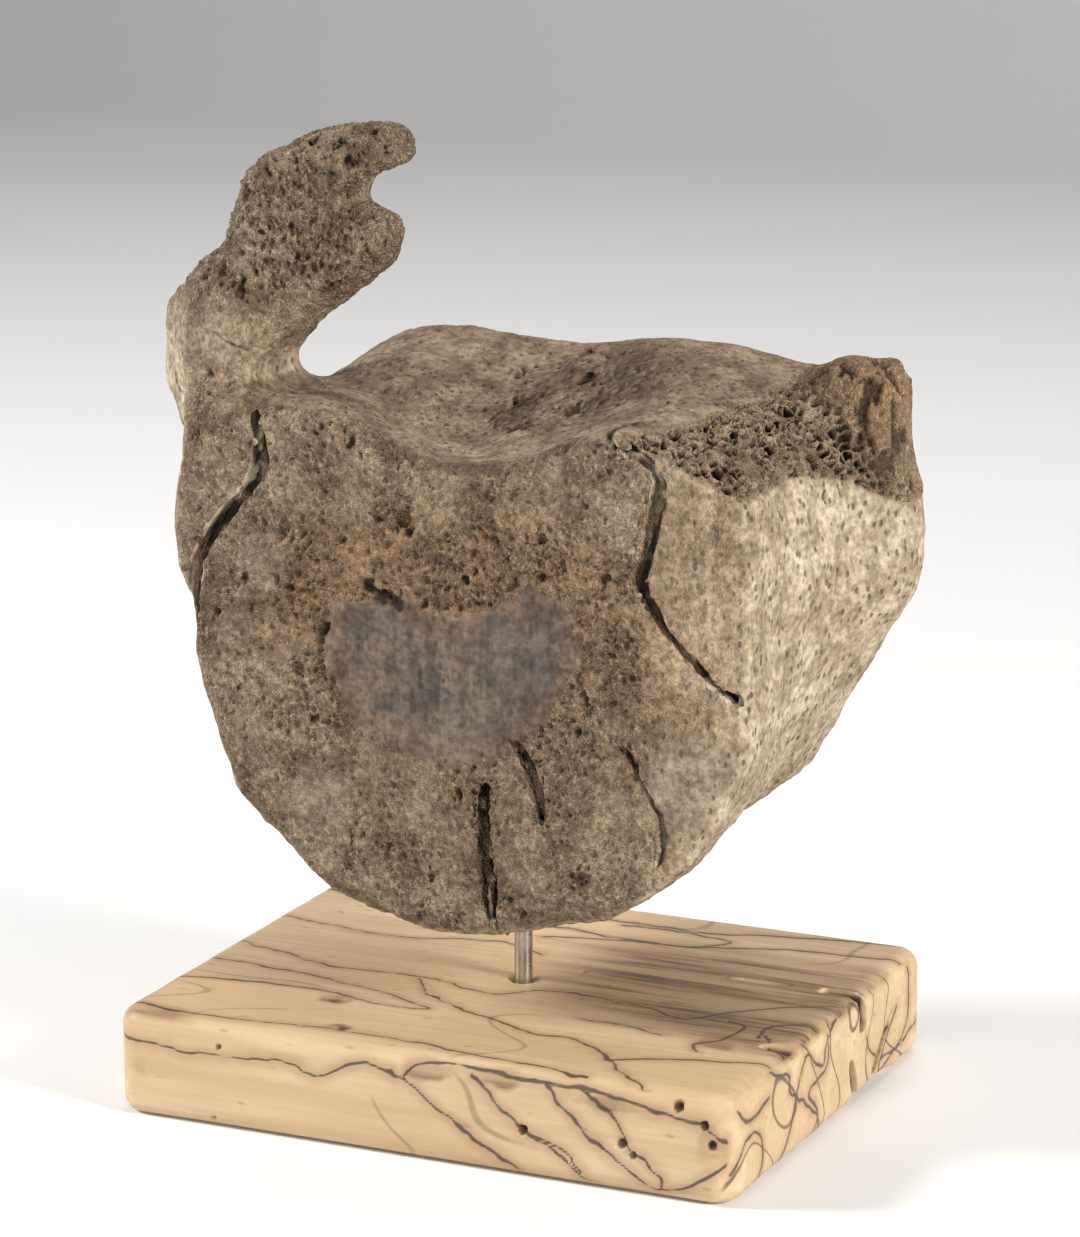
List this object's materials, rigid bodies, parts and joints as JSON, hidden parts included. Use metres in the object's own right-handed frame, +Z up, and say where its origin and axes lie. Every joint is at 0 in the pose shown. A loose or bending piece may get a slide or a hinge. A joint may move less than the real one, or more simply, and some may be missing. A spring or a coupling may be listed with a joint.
{
  "type": "mounted fossil vertebra",
  "caption": "Worn fossil vertebra of a mammoth, with its left pedicle and a stub of the arch, held on a steel rod above a spalted-wood base.",
  "frame": {"origin": "middle of the wooden base's underside", "axes": "+Z up, +X to the right and +Y to the back as the front face of the bone is seen"},
  "size_m": [0.1927, 0.137, 0.2564],
  "materials": {
    "bone": "dry, pitted and matt, with smoother grey and cream patches",
    "rod_steel": "satin",
    "spalted_wood": "oiled, low sheen, with dark spalting lines"
  },
  "bodies": {
    "root": {"vertebra": "bone", "mount_rod": "rod_steel", "wood_base": "spalted_wood"}
  },
  "joints": []
}
